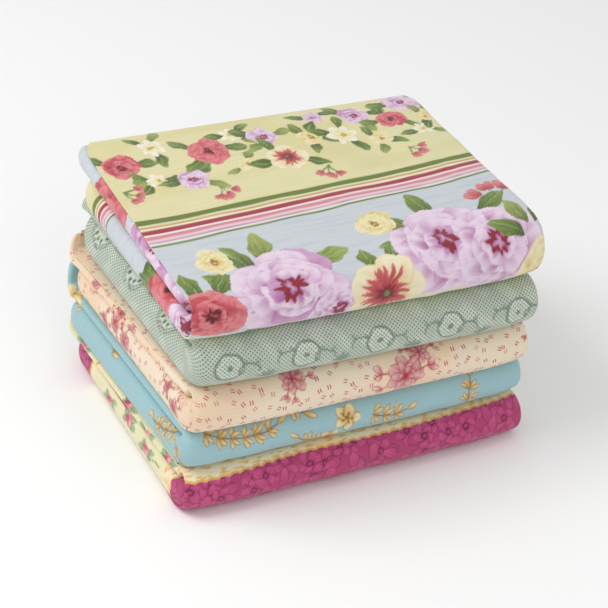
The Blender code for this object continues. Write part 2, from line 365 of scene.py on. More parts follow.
def lattice(number, wobble):
    """Both faces of a folded cut at the finest spacing. wobble gives the height of its waves."""
    cut = stack[number]
    q = []
    rows = []
    for name, start, end, cells in SWEEP[0 if cut.upper_long else 1 :]:
        first = max(len(q) - 1, 0)
        q.extend(np.linspace(start, end, cells * FINE + 1)[1 if q else 0 :])
        rows.append((name, first, len(q) - 1))
    columns = []
    for stretch in FOLDINGS[cut.folding]:
        parts = [(stretch.name, stretch.cells)]
        if stretch.name == "top":
            parts = [("margin", MARGIN_CELLS), ("top", stretch.cells - MARGIN_CELLS)]
            parts = parts if cut.folding == "loose" else parts[::-1]
        for name, cells in parts:
            first = columns[-1][2] if columns else 0
            columns.append((name, first, first + cells * FINE))
    middle = {name: (first + end) // 2 for name, first, end in columns}
    top, bead = middle["top"], middle["bead"]
    faces, xs, runs = [], [], []
    for place in q:
        x, out, flat = slice_line(number, place)
        way_x = np.gradient(x)
        way_out = np.where(flat, 0.0, np.gradient(out))
        size = np.hypot(way_x, way_out) * 2 / CLOTH
        pair = []
        for sign in (1, -1):
            face_x = x - sign * way_out / size
            y, z, way_y, way_z, length = ray(number, place, face_x)
            reach = HALF_GAP + out + sign * way_x / size
            reach = reach + wobble(face_x / MM, place, reach / length) * MM
            across, along = in_stack(cut, face_x, y + way_y * reach)
            place_3d = (across + STACK_SHIFT[0], along + STACK_SHIFT[1], z + way_z * reach)
            pair.append(np.stack(place_3d, axis=1))
        faces.append(pair)
        xs.append(x / MM)
        runs.append(np.concatenate([[0], np.cumsum(np.hypot(np.diff(x), np.diff(out)))]) / MM)
    faces = np.array(faces).transpose(1, 0, 2, 3)
    if faces[0, 2, top, 2] < faces[1, 2, top, 2]:
        faces = faces[::-1]
    runs = np.array(runs)
    rightward = 1 if xs[0][top + 1] > xs[0][top] else -1
    u = np.array(xs)[:, top : top + 1] + rightward * (runs - runs[:, top : top + 1])
    t = np.concatenate([[0], np.cumsum(np.linalg.norm(np.diff(faces[0, :, top], axis=0), axis=1))]) / MM
    t = t - t[next(a for name, a, b in rows if name == "upper")]
    t, q = (np.broadcast_to(np.array(value)[:, None], u.shape) for value in (t, q))
    return Lattice(faces, u, t, q, runs - runs[:, bead : bead + 1], columns, rows)


def sheet_mesh(name, grid, spacing):
    """One closed sheet from both faces, with its four edges joined.

    spacing gives how many of the finest cells one side of a face's cells spans in each part. Along
    a border between parts, the larger cells take up the corners of the smaller ones."""
    exists = np.zeros((2,) + grid.u.shape, bool)
    cells = []
    finest = []
    for face in (0, 1):
        for row, top, bottom in grid.rows:
            for column, left, right in grid.columns:
                down, over = spacing(face, row, column)
                exists[face, top : bottom + 1 : down, left : right + 1 : over] = True
                if (down, over) == (1, 1):
                    finest.append((face, slice(top, bottom), slice(left, right)))
                    continue
                for i in range(top, bottom, down):
                    cells.extend((face, i, j, i + down, j + over) for j in range(left, right, over))
    index = np.full(exists.shape, -1)
    index[exists] = np.arange(exists.sum())
    ids = index.tolist()
    polygons = []
    for face, tall, wide in finest:
        below = slice(tall.start + 1, tall.stop + 1)
        beside = slice(wide.start + 1, wide.stop + 1)
        corners = ((tall, wide), (tall, beside), (below, beside), (below, wide))
        quads = np.stack([index[face][corner] for corner in corners], axis=-1)
        polygons.extend((quads if face else quads[..., ::-1]).reshape(-1, 4).tolist())
    for face, i0, j0, i1, j1 in cells:
        ring = [(i0, j) for j in range(j0, j1)] + [(i, j1) for i in range(i0, i1)]
        ring += [(i1, j) for j in range(j1, j0, -1)] + [(i, j0) for i in range(i1, i0, -1)]
        ring = [ids[face][i][j] for i, j in ring if ids[face][i][j] >= 0]
        polygons.append(ring if face else ring[::-1])
    tall, wide = (count - 1 for count in grid.u.shape)
    step = range(FINE + 1)
    rims = [([(a + i, j) for i in step], j == 0) for a in range(0, tall, FINE) for j in (0, wide)]
    rims += [([(i, a + j) for j in step], i == tall) for a in range(0, wide, FINE) for i in (0, tall)]
    for there, back in rims:
        ring = [ids[0][i][j] for i, j in there] + [ids[1][i][j] for i, j in reversed(there)]
        ring = [point for point in ring if point >= 0]
        polygons.append(ring[::-1] if back else ring)
    mesh = bpy.data.meshes.new(name)
    mesh.from_pydata(grid.faces[exists].tolist(), [], polygons)
    piece = bpy.data.objects.new(name, mesh)
    bpy.context.scene.collection.objects.link(piece)
    solid = bmesh.new()
    solid.from_mesh(mesh)
    if solid.calc_volume(signed=True) < 0:
        mesh.flip_normals()
    solid.free()
    mesh.shade_smooth()
    mesh.set_sharp_from_angle(angle=math.radians(60))
    return piece, exists


def linear(code):
    """The linear colour of a six-digit sRGB code."""
    shares = np.array([int(code[i : i + 2], 16) / 255 for i in (0, 2, 4)])
    return np.where(shares <= 0.04045, shares / 12.92, ((shares + 0.055) / 1.055) ** 2.4)


def front_cells(face, row, column):
    """The finest cells on what shows of a cut in the stack, and large ones inside it. The inner
    face of the cloth is outside on the beads of a cut whose free edge lies at the left."""
    if column == "bead":
        outside = int(stack[-1].folding == "loose")
        return (1, 1) if face == outside else (4, 4)
    if face == 0 and (column == "margin" or (column in ("top", "turn") and row in ("nose", "extra"))):
        return 1, 1
    return 8, 2 if column in ("turn", "inner_turn") else 8


def mottle(x, y, size, seed):
    """Unevenness from about -1 to 1, over this many millimetres."""
    chance = np.random.default_rng(seed)
    total = 0 * x
    for _ in range(7):
        angle, phase = chance.uniform(0, 2 * math.pi, 2)
        wave = 2 * math.pi / (size * chance.uniform(0.6, 1.7))
        total = total + np.sin((x * math.cos(angle) + y * math.sin(angle)) * wave + phase)
    return total / 3


PUCKER_HEIGHT, PUCKER_SIZE, FRONT_RUN = 0.55, 36, 25


def outer(share):
    """Full strength on the outer layers of a half, and none on the inner ones."""
    return smooth((share - 0.4) / 0.6)


def puckers(seed):
    """Low uneven waves round the front of a cut, where its layers turn, in millimetres."""

    def wave(x, q, share):
        waves = PUCKER_HEIGHT * mottle(x, FRONT_RUN * q + 0 * x, PUCKER_SIZE, seed)
        return waves * between(q, 1.1, 0.3, 1.6, 0.3) * outer(share)

    return wave


def within(inside, soft=0.9):
    """1 inside an outline, with an edge that many millimetres soft."""
    return smooth(inside / soft + 0.5)


def towards(x, y, angle, far):
    """The point that far from another one, at an angle in degrees."""
    way = math.radians(angle)
    return x + far * math.cos(way), y + far * math.sin(way)


class Print:
    """The dye at each point of a cut's mesh. On the flat cloth x runs along the front fold and y
    from the back to the front, in millimetres. Motifs are laid one over another, and bands run
    straight where unsteady bends the motifs, as if drawn by hand."""

    def __init__(self, x, y, ground, unsteady):
        self.x = x + unsteady * mottle(x, y, 13, 1)
        self.y = y + unsteady * mottle(x, y, 13, 2)
        self.even_y = y
        self.rgb = np.tile(linear(ground), (len(x), 1))
        self.repeat = np.ones(len(x))

    def near(self, x, y, reach):
        return np.flatnonzero((abs(self.x - x) < reach) & (abs(self.y - y) < reach))

    def lay(self, share, colour, at=slice(None)):
        if isinstance(colour, str):
            colour = linear(colour)
        self.rgb[at] += (colour - self.rgb[at]) * share[:, None]

    def band(self, start, end, code, soft=0.7, sway=0.0):
        edge = self.even_y + sway
        self.lay(within(edge - start, soft) * within(end - edge, soft), code)

    def disc(self, x, y, radius, code, soft=0.9, squash=1.0, share=1.0):
        at = self.near(x, y, radius + soft)
        far = np.hypot(self.x[at] - x, (self.y[at] - y) / squash)
        self.lay(share * within(radius - far, soft), code, at)

    def ring(self, x, y, radius, wide, code):
        at = self.near(x, y, radius + wide)
        far = np.hypot(self.x[at] - x, self.y[at] - y)
        self.lay(within(wide / 2 - abs(far - radius), 0.8), code, at)

    def stroke(self, start, end, wide, code):
        (x0, y0), (x1, y1) = start, end
        long = math.hypot(x1 - x0, y1 - y0)
        at = self.near((x0 + x1) / 2, (y0 + y1) / 2, long / 2 + wide + 1)
        way_x, way_y = (x1 - x0) / long, (y1 - y0) / long
        dx, dy = self.x[at] - x0, self.y[at] - y0
        along = np.clip(dx * way_x + dy * way_y, 0, long)
        far = np.hypot(dx - along * way_x, dy - along * way_y)
        self.lay(within(wide / 2 - far), code, at)

    def petal(self, x, y, angle, long, wide, base, tip, full=0.5, vein=None, rim=None):
        """A petal or a leaf that grows from a point. full is 1 for a pointed leaf and less for a
        round petal, vein the colour of its middle line and rim of its outline."""
        at = self.near(x, y, long * 1.1 + wide)
        way_x, way_y = math.cos(math.radians(angle)), math.sin(math.radians(angle))
        dx, dy = self.x[at] - x, self.y[at] - y
        along = (dx * way_x + dy * way_y) / long
        over = (dy * way_x - dx * way_y) / wide
        half = 0.5 * np.clip(4 * along * (1 - along), 0, 1) ** full
        inside = (half - abs(over)) * wide
        blend = smooth(along + 0.12 * np.sin(over * 21))[:, None]
        colour = linear(base) * (1 - blend) + linear(tip) * blend
        if rim:
            edge = (smooth((1.5 - inside) / 1.2) * 0.75)[:, None]
            colour = colour + (linear(rim) - colour) * edge
        if vein:
            middle = (smooth((0.7 - abs(over) * wide) / 0.7) * 0.7)[:, None]
            colour = colour + (linear(vein) - colour) * middle
        self.lay(within(inside) * (half > 0), colour, at)


def add_node(tree, kind, operation=None, **values):
    """A shader node with its settings, which have small letters, and its inputs, which have capitals
    or a number. An input takes a value, a node or one of a node's outputs."""
    node = tree.nodes.new("ShaderNode" + kind)
    if operation:
        node.operation = operation
    for name, value in values.items():
        if name[0].islower():
            setattr(node, name, value)
            continue
        socket = node.inputs[int(name[1:])] if name[0] == "_" else node.inputs[name.replace("_", " ")]
        if isinstance(value, bpy.types.Node):
            value = value.outputs[0]
        if isinstance(value, bpy.types.NodeSocket):
            tree.links.new(value, socket)
        else:
            socket.default_value = value
    return node


# Threads of real quilting cotton lie about 0.35 mm apart. They are drawn coarser, to show
DRAWN_THREAD = 1.5 * MM


def printed_cotton(name, repeat=None, streaks=0.03):
    """Plain-woven cotton with a dull print, which gives soft highlights and a faint grain. repeat
    adds a small all-over pattern where the print's fourth channel lets it."""
    material = bpy.data.materials.new(name)
    material.use_nodes = True
    tree = material.node_tree
    add = partial(add_node, tree)
    shader = tree.nodes["Principled BSDF"]
    finish = {"Roughness": 0.85, "IOR": 1.53, "Sheen Weight": 0.15, "Sheen Roughness": 0.6}
    for socket, value in finish.items():
        shader.inputs[socket].default_value = value
    dye = add("Attribute", attribute_name="print")
    flat = add("UVMap", uv_map="cloth").outputs["UV"]
    colour = dye.outputs["Color"]
    if repeat:
        colour = repeat(add, flat, colour, dye.outputs["Alpha"])
    # Slubs are uneven threads, drawn as faint streaks 25 mm long and 1.4 mm wide
    long = add("VectorMath", "MULTIPLY", _0=flat, _1=(40, 700, 1))
    slubs = add("TexNoise", Vector=long, Scale=1.0, Detail=2.0)
    low, high = 1 - streaks, 1 + streaks
    tone = add("MapRange", Value=slubs, From_Min=0.3, From_Max=0.7, To_Min=low, To_Max=high)
    shaded = add("VectorMath", "SCALE", _0=colour, Scale=tone)
    tree.links.new(shaded.outputs[0], shader.inputs["Base Color"])
    threads = add("VectorMath", "SCALE", _0=flat, Scale=2 * math.pi / DRAWN_THREAD)
    waves = add("VectorMath", "SINE", _0=threads)
    apart = add("SeparateXYZ", Vector=waves)
    weave = add("Math", "MULTIPLY", _0=apart.outputs[0], _1=apart.outputs[1])
    fluff = add("TexNoise", Vector=flat, Scale=500.0, Detail=2.0)
    height = add("Math", "MULTIPLY_ADD", _0=weave, _1=0.25, _2=fluff)
    bump = add("Bump", Strength=0.25, Distance=0.12 * MM, Height=height)
    tree.links.new(bump.outputs[0], shader.inputs["Normal"])
    return material


class Made(NamedTuple):
    """A cut's piece, and where each point of its mesh lies on the flat cloth and in the folds."""

    piece: object
    u: np.ndarray
    t: np.ndarray
    q: np.ndarray
    arc: np.ndarray
    on_top: np.ndarray


def make_cut(name, spacing, wobble):
    """The mesh of the cut that was last put on the stack."""
    grid = lattice(len(stack) - 1, wobble)
    piece, exists = sheet_mesh(name, grid, spacing)
    on_top = np.zeros(grid.u.shape, bool)
    for column, start, end in grid.columns:
        if column in ("margin", "top", "turn", "first"):
            on_top[:, start : end + 1] = True
    places = (grid.u, grid.t, grid.q, grid.arc, on_top)
    return Made(piece, *(np.broadcast_to(value, exists.shape)[exists] for value in places))


def finish_cut(made, dye, material, node):
    """Writes the print and the flat cloth's map into the mesh, and sets the piece in the frame."""
    mesh = made.piece.data
    rgba = np.concatenate([np.clip(dye.rgb, 0, 1), dye.repeat[:, None]], axis=1)
    colours = mesh.color_attributes.new("print", "FLOAT_COLOR", "POINT")
    colours.data.foreach_set("color", rgba.astype(np.float32).ravel())
    corners = np.empty(len(mesh.loops), np.int64)
    mesh.loops.foreach_get("vertex_index", corners)
    flat = np.stack([made.u, made.t], axis=1)[corners] * MM
    mesh.uv_layers.new(name="cloth").data.foreach_set("uv", flat.astype(np.float32).ravel())
    mesh.materials.append(material)
    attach(made.piece, "root")
    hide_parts(node)


stack.append(Cut(
    folding="loose", width=291, shift_x=-1.2, shift_y=-4.5, turn=-0.4,
    front_left=35.5, front_right=31.5, back_left=33, back_right=31.5,
    upper_fold=10, back_fold=6, bead_out=1, bead_taper=5, upper_taper=4,
    lower_short=2, upper_long=20, flare=10,
))
magenta = make_cut("magenta_cut", front_cells, puckers(52))
# How far the beads' print runs on, along the lower half and round the front
LOWER_RUN, ROUND_RUN = 198, 30


def split_print(made, upper_start, lower_start):
    """Print coordinates in which the cloth of the beads shows other stretches of the repeat than
    the top cloth: about x 400 on the upper bead, and about x 600 on the lower one."""
    low = made.q >= LOWER_START
    x = np.where(made.on_top, made.u, np.where(low, 600.0, 400.0) + made.arc)
    beyond = made.q - 2
    lower_y = lower_start - np.where(beyond > 0, LOWER_RUN, ROUND_RUN) * beyond
    return x, np.where(made.on_top, made.t, np.where(low, lower_y, upper_start + made.t))


MAGENTA, DEEP_MAGENTA, PALE_MAGENTA = "AE3469", "6E1239", "C4487F"
TRIM_GOLD, TRIM_CREAM, BUD_GROUND = "DDAC52", "EEDDBA", "E2DCB4"
TRIM_START, TRIM_END, BLOCK_END = 192, 210, 46
x, y = split_print(magenta, -5, 210)
dye = Print(x, y, MAGENTA, unsteady=0.7)


def tonal_flowers(left, right, back, front):
    """Flowers and leaves outlined in a deeper tone of the ground, packed over a stretch of cloth."""
    chance = np.random.default_rng(8)
    for row in np.arange(back, front, 10.0):
        for column in np.arange(left, right, 12.0):
            at_x, at_y = column + chance.uniform(-2.5, 2.5), row + chance.uniform(-2.5, 2.5)
            angle = chance.uniform(0, 360)
            if chance.uniform() < 0.55:
                dye.petal(at_x, at_y, angle, 15, 9.5, MAGENTA, PALE_MAGENTA, full=0.6, rim=DEEP_MAGENTA)
                continue
            for way in (angle + 72 * i for i in range(5)):
                dye.petal(at_x, at_y, way, 9.5, 9, MAGENTA, PALE_MAGENTA, full=0.4, rim=DEEP_MAGENTA)
            dye.disc(at_x, at_y, 3.0, DEEP_MAGENTA)
            dye.disc(at_x, at_y, 1.5, MAGENTA)


for field in ((-150, 150, 200, 310), (585, 620, -30, 50), (585, 620, 200, 260)):
    tonal_flowers(*field)
lean = (6 * smooth((-x - 40) / 100) - 5 * smooth((x - 10) / 130)) * magenta.on_top
scallops = 1.3 * abs(np.sin(x * math.pi / 9.0)) - lean
plain = (y < TRIM_START + 3) & ~((x > 500) & (y < BLOCK_END))
dye.lay(1.0 * plain, BUD_GROUND)
for bud_x, bud_y, turn in (
    (603, 160, 1), (606, 124, -1), (600, 88, 1), (400, 178, -1), (402, 143, 1), (399, 106, -1), (402, 20, 1),
    (-138, 30, -1), (-132, 2, 1), (-140, -16, -1),
):
    for angle, long in ((-104, 15), (-64, 11), (72, 14), (112, 12)):
        dye.petal(bud_x, bud_y, turn * angle, long, 5.5, "6C8454", "9DB083", full=0.8, vein="C9D0A8")
    dye.disc(bud_x, bud_y, 4.2, "D9808A", squash=1.4)
    dye.petal(bud_x, bud_y - 6, 90 - 12 * turn, 10, 3.2, "A63A52", "C4606E", full=0.6)
    dye.disc(bud_x - 1.6, bud_y + 2.5, 1.5, "E8A9A4", squash=1.4)
dye.stroke((404, 184), (398, 200), 1.4, "7F9468")
dye.stroke((600, 166), (606, 186), 1.4, "7F9468")
dye.band(TRIM_START, TRIM_END, TRIM_CREAM, sway=scallops)
dye.band(TRIM_END - 1.8, TRIM_END, TRIM_GOLD, sway=scallops)
blots = smooth(2.2 * mottle(x, 1.6 * y, 8, 40) - 0.5) * (y > TRIM_START - lean) * (y < TRIM_END - 3 + lean)
dye.lay(0.8 * blots, TRIM_GOLD)
dye.band(BLOCK_END, BLOCK_END + 9, TRIM_CREAM)
dye.band(BLOCK_END, BLOCK_END + 2.5, TRIM_GOLD, sway=scallops)
# The ground's colour shows again in the groove between the beads
upper = magenta.q < 1.5
from_back = np.where(upper, magenta.q, 3 - magenta.q)
inward = magenta.arc > np.where(upper, 2.5, 9)
groove = (x > 300) & (from_back > 0.2) & (from_back < 0.52) & inward
dye.lay(1.0 * groove, MAGENTA)
finish_cut(magenta, dye, printed_cotton("magenta printed cotton"), "magenta_cloth")


# Second cut: sky blue quilting cotton with a sparse print of gold brown sprigs. Its top layer wraps
# round the left end, and the long upper half flares a little at the open back.
stack.append(Cut(
    folding="wrapped", width=291, shift_x=-1.0, shift_y=3.9, turn=0.6,
    front_left=34, front_right=30, back_left=32, back_right=30.5,
    upper_fold=8.5, back_fold=6, bead_out=1.5, bead_taper=1, upper_taper=4,
    lower_short=4, upper_long=22, flare=22,
))
blue = make_cut("blue_cut", front_cells, puckers(53))
BROWN, GOLD, STRAW = "86601C", "CBA75A", "E4D8AC"
LEAF = 11.0
dye = Print(blue.u, blue.t, "96BCC2", unsteady=0.6)


def sprig(x, y, angle, pairs, bend=0.0):
    """A stem with pairs of outlined leaves, which turns a little at each pair."""
    for _ in range(pairs):
        end = towards(x, y, angle, 0.9 * LEAF)
        dye.stroke((x, y), end, 1.2, BROWN)
        for side in (-68, -36, 34, 66):
            dye.petal(x, y, angle + side, LEAF * 0.95, LEAF * 0.36, GOLD, STRAW, full=0.8, rim=BROWN)
        x, y, angle = *end, angle + bend
    dye.petal(x, y, angle, LEAF, LEAF * 0.45, GOLD, STRAW, full=0.7, rim=BROWN)


def open_flower(x, y, size):
    for angle in range(10, 370, 72):
        dye.petal(x, y, angle, size, size * 0.85, GOLD, STRAW, full=0.38, rim=BROWN)
        dye.petal(x, y, angle, size * 0.5, size * 0.16, BROWN, BROWN, full=0.6)
    dye.disc(x, y, 1.5, BROWN)


# Beyond the left end x runs on round the beads, and the lower half reads y from the front to the back
for draw, *place in (
    (sprig, -128, 211, 26, 6, -9), (sprig, -36, 240, -160, 2, 12), (sprig, 8, 224, 20, 3, -14),
    (sprig, 94, 242, -96, 3, 10), (sprig, -56, 206, 30, 1), (open_flower, -14, 222, 11),
    (open_flower, -26, 240, 10), (open_flower, -146, 4, 16), (sprig, -166, 258, 62, 3, 14),
    (sprig, -178, 308, 104, 3, -12), (sprig, -164, 236, 20, 2), (sprig, -172, 436, 80, 2, 10),
    (sprig, -166, 372, 200, 1), (open_flower, -186, 452, 9),
):
    draw(*place)
finish_cut(blue, dye, printed_cotton("blue printed cotton"), "blue_cloth")


# Third cut: cream quilting cotton with small red double dashes and crimson sprays. Its free edges
# show at the left end, with the narrow upper bead between them and the full lower one.
stack.append(Cut(
    folding="loose", width=288, shift_x=-2.6, shift_y=-1.7, turn=0.9,
    front_left=38, front_right=36, back_left=36.5, back_right=36,
    upper_fold=11, back_fold=7.5, bead_out=1, bead_taper=5, upper_taper=3,
    lower_short=0, upper_long=16, flare=14,
))
cream = make_cut("cream_cut", front_cells, puckers(54))
x, y = split_print(cream, 60, 240)
dye = Print(x, y, "E6D6BD", unsteady=0.8)
dye.lay(0.6 * smooth(mottle(x, y, 90, 3) * 0.8 + 0.3), "E8C4A0")
CRIMSON, ROSE_RED, PINK, BLUSH = "A8263E", "C65467", "DEB0A8", "EBD6C4"


def spray(x, y, size, seed):
    """A bloom with buds round it in crimson line work. The dashes stop short of it."""
    chance = np.random.default_rng(seed)
    for i in range(5):
        angle = 72 * i + chance.uniform(-25, 25)
        end = towards(x, y, angle, size * 1.35)
        dye.stroke((x, y), end, 1.1, CRIMSON)
        for lean in (-38, 30):
            dye.petal(*end, angle + lean, size * 0.6, size * 0.34, ROSE_RED, BLUSH, full=0.7, rim=CRIMSON)
    for row, count, far in ((1.0, 7, 0.1), (0.7, 6, 0.05), (0.42, 4, 0.0)):
        turn = chance.uniform(0, 360)
        for i in range(count):
            angle = turn + 360 * i / count
            base, long = towards(x, y, angle, size * far), size * row
            dye.petal(*base, angle, long, long * 0.72, CRIMSON, PINK, full=0.35, rim=CRIMSON)
    dye.disc(x, y, size * 0.16, CRIMSON)
    dye.repeat[dye.near(x, y, size * 1.6)] = 0


for place in (
    (-62, 210, 10, 1), (30, 226, 15, 2), (44, 210, 9, 12), (152, 214, 9, 3), (403, 170, 7, 4),
    (398, 150, 5, 5), (402, 104, 7, 6), (600, 142, 8, 8), (605, 122, 7, 9), (598, 104, 6, 13),
    (598, 232, 8, 10), (608, 216, 5, 11),
):
    spray(*place)


DASH_CELL, DASH_APART, DASH_WIDE, DASH_LONG = 9 * MM, 2 * MM, 1.1 * MM, 3.4 * MM


def double_dashes(add, flat, colour, allowed):
    """Pairs of short red strokes, one pair to a cell, each turned by chance."""
    cells = add("TexVoronoi", voronoi_dimensions="2D", Vector=flat, Scale=1 / DASH_CELL, Randomness=0.8)
    away = add("VectorMath", "SUBTRACT", _0=flat, _1=cells.outputs["Position"])
    chance = add("SeparateColor", Color=cells.outputs["Color"])
    angle = add("Math", "MULTIPLY_ADD", _0=chance, _1=1.7, _2=-0.2)
    turned = add("VectorRotate", rotation_type="Z_AXIS", Vector=away, Angle=angle)
    folded = add("VectorMath", "ABSOLUTE", _0=turned)
    apart = add("SeparateXYZ", Vector=folded)
    inked = add("Math", "COMPARE", _0=apart, _1=DASH_APART / 2, _2=DASH_WIDE / 2)
    short = add("Math", "LESS_THAN", _0=apart.outputs[1], _1=DASH_LONG / 2)
    faint = add("Math", "MULTIPLY_ADD", _0=chance.outputs[1], _1=0.4, _2=0.5)
    for share in (short, faint, allowed):
        inked = add("Math", "MULTIPLY", _0=inked, _1=share)
    return add("MixRGB", Fac=inked, Color1=colour, Color2=(*linear("BE4256"), 1.0))


finish_cut(cream, dye, printed_cotton("cream printed cotton", double_dashes), "cream_cloth")


# Fourth cut: sage green quilting cotton printed like lace, a net of small holes with round
# flowers, openwork and fans. Its top layer wraps round the left end.
stack.append(Cut(
    folding="wrapped", width=287, shift_x=0.9, shift_y=-1.7, turn=-0.2,
    front_left=39.5, front_right=40, back_left=47.5, back_right=39.5,
    upper_fold=9, back_fold=9, bead_out=1.5, bead_taper=3, upper_taper=8,
    lower_short=5, upper_long=14, flare=14,
))
sage = make_cut("sage_cut", front_cells, puckers(55))
LACE, HOLE, SHADE = "CDD4C5", "52665A", "788A7A"
dye = Print(sage.u, sage.t, "B6C0B0", unsteady=0.6)
dye.lay(0.6 * smooth(mottle(sage.u, sage.t, 24, 5) + 0.1), LACE)


def lace_flower(x, y, size):
    """A round flower with light rims, which lets the net show through its petals."""
    dye.ring(x, y, size * 1.08, 1.8, SHADE)
    for i in range(6):
        dye.petal(x, y, 60 * i, size, size * 0.9, "AFBAAB", LACE, full=0.4, rim="D6DCCD")
    dye.disc(x, y, size * 0.22, SHADE)
    dye.ring(x, y, size * 0.34, 1.3, LACE)


def scroll(x, y, side, size):
    """A curled stem with small leaves beside a flower."""
    ways = [math.radians(200 - 24 * i) for i in range(10)]
    curl = [(x + side * size * math.cos(way), y - 0.7 * size * math.sin(way)) for way in ways]
    for i in range(9):
        dye.stroke(*curl[i : i + 2], 1.3, SHADE)
        if i % 3 == 0:
            dye.petal(*curl[i], side * 40 - 90, size * 0.7, size * 0.32, SHADE, LACE, full=0.7, rim=SHADE)


def openwork(x, y, size):
    """A light round with dark holes like cut work, within two fine rings."""
    dye.disc(x, y, size * 1.1, LACE, share=0.8)
    for i in range(9):
        angle = math.radians(40 * i)
        dye.disc(x + size * 0.72 * math.sin(angle), y + size * 0.72 * math.cos(angle), size * 0.16, HOLE)
    for i in range(3):
        dye.disc(x, y + size * 0.32 * (i - 1), size * 0.12, HOLE)
    for radius in (1.08, 1.32):
        dye.ring(x, y, size * radius, 1.3, SHADE)
    dye.repeat[dye.near(x, y, size)] *= 0.2


for i in range(5):
    lace_flower(-118 + 60 * i, 228, 10)
    scroll(-103 + 60 * i, 232, 1, 8)
    scroll(-73 + 60 * i, 228, -1, 8)
    for spread in (-60, -30, 0, 30, 60):
        dye.petal(-88 + 60 * i, 242, spread - 90, 10, 3.4, SHADE, "8E9F8F", full=0.8)
for i in range(3):
    openwork(-174, 300 + 62 * i, 11)
    lace_flower(-180, 272 + 62 * i, 8)
for i in range(8):
    dye.petal(-158, 20 + 24 * i, 60, 16, 6, LACE, "DDE3D5", full=0.5, rim=SHADE)


NET_SPACING = 2.4 * MM


def lace_net(add, flat, colour, allowed):
    """Dark holes in rows along both diagonals."""
    turned = add("VectorRotate", rotation_type="Z_AXIS", Vector=flat, Angle=math.radians(45))
    turns = add("VectorMath", "SCALE", _0=turned, Scale=2 * math.pi / NET_SPACING)
    waves = add("VectorMath", "COSINE", _0=turns)
    apart = add("SeparateXYZ", Vector=waves)
    both = add("Math", "ADD", _0=apart.outputs[0], _1=apart.outputs[1])
    hole = add("MapRange", Value=both, From_Min=0.3, From_Max=1.1, To_Max=0.8)
    inked = add("Math", "MULTIPLY", _0=hole, _1=allowed)
    return add("MixRGB", Fac=inked, Color1=colour, Color2=(*linear(HOLE), 1.0))


finish_cut(sage, dye, printed_cotton("sage printed cotton", lace_net), "sage_cloth")


# Top cut: quilting cotton printed in stripes along the front, between a pale yellow field with a
# garland of small flowers and a grey blue one with large blooms. Its free edge lies along the left.
stack.append(Cut(
    folding="loose", width=292, shift_x=-0.6, shift_y=1.9, turn=-0.8,
    front_left=28.5, front_right=50.5, back_left=46, back_right=53.5,
    upper_fold=12.5, back_fold=18, bead_out=2, bead_taper=2, upper_taper=0,
    lower_short=20,
))


def rose_cells(face, row, column):
    """The finest cells on the whole top as well."""
    if face == 0 and column in ("top", "turn") and row == "upper":
        return 1, 1
    return front_cells(face, row, column)


WAVE_HEIGHT, WAVE_SIZE = 0.9, 75
# The ridge and the trough: height, place across, lean and width
FRONT_FOLDS = ((0.7, 96, 60, 7), (-0.8, -100, -40, 8))
front_puckers = puckers(51)


def soft_waves(x, q, share):
    """Low waves over the top as well, with a soft ridge and a soft trough down the front."""
    along = min(q, 1.0) * FOLDED_DEPTH / MM + 0 * x
    over_top = between(q, 0.0, 0.08, 1.2, 0.5) * outer(share)
    near_front = between(q, 0.9, 0.3, 1.6, 0.4) * outer(share)
    waves = WAVE_HEIGHT * mottle(x, along, WAVE_SIZE, 50)
    folds = sum(
        high * np.exp(-(((x - at + lean * (q - 1)) / wide) ** 2)) for high, at, lean, wide in FRONT_FOLDS
    )
    return front_puckers(x, q, share) + waves * over_top + folds * near_front


rose = make_cut("rose_cut", rose_cells, soft_waves)
x, y = split_print(rose, 140, 279)
dye = Print(x, y, "E6DFAE", unsteady=1.0)
dye.lay(0.5 * smooth(mottle(x, y * 3, 120, 21) + 0.2), "DDD292")
dye.band(130, 900, "CFD5DA")
dye.lay(0.45 * smooth(mottle(x * 0.25, y * 3, 20, 22)) * (y > 134), "BFCAD2")
dye.band(240, 330, "EDE6BC", soft=8, sway=6 * mottle(x, 0 * y, 60, 23))
STRIPES = (
    (105, 110.5, "6B7F2E"), (110.5, 112.5, "E9E3C6"), (112.5, 114.5, "CBA24A"), (114.5, 117, "EFE9D2"),
    (117, 121.8, "A93345"), (121.8, 123.8, "F3EAE6"), (123.8, 127.2, "D98A98"), (127.2, 130, "EFCDD4"),
    (130, 131.6, "C48FC0"), (131.6, 134, "ECE6D6"), (134, 136, "5F7A2A"),
)
for start, end, code in STRIPES:
    dye.band(start, end, code, sway=0.5 * mottle(x, 0 * y, 70, 25))
MAUVES = ("EEDAEA", "D2A2CA", "B266A0", "8E1A2B")
REDS = ("E5868A", "C94F5A", "9E2637", "5E0F1C")
YELLOWS = ("F4EBC0", "EADB92", "D6A845", "A8742A")
GREENS = (("44591B", "7F9440"), ("3A501B", "6B8236"), ("5C6E22", "A2B05C"), ("324618", "82984A"))


def leaf(x, y, angle, long, greens=("4F6B22", "8FAE5C")):
    dye.petal(x, y, angle, long, long * 0.46, *greens, full=0.9, vein="A9C27C")


def daisy(x, y, radius):
    """An open flower with six pale petals round a small heart."""
    for i in range(6):
        dye.petal(x, y, x + 60 * i, radius, radius * 3.4 / 6, "EADB92", "FAF6E4", full=0.42, rim="FAF6E4")
    dye.disc(x, y, radius * 0.2, "D6A845")


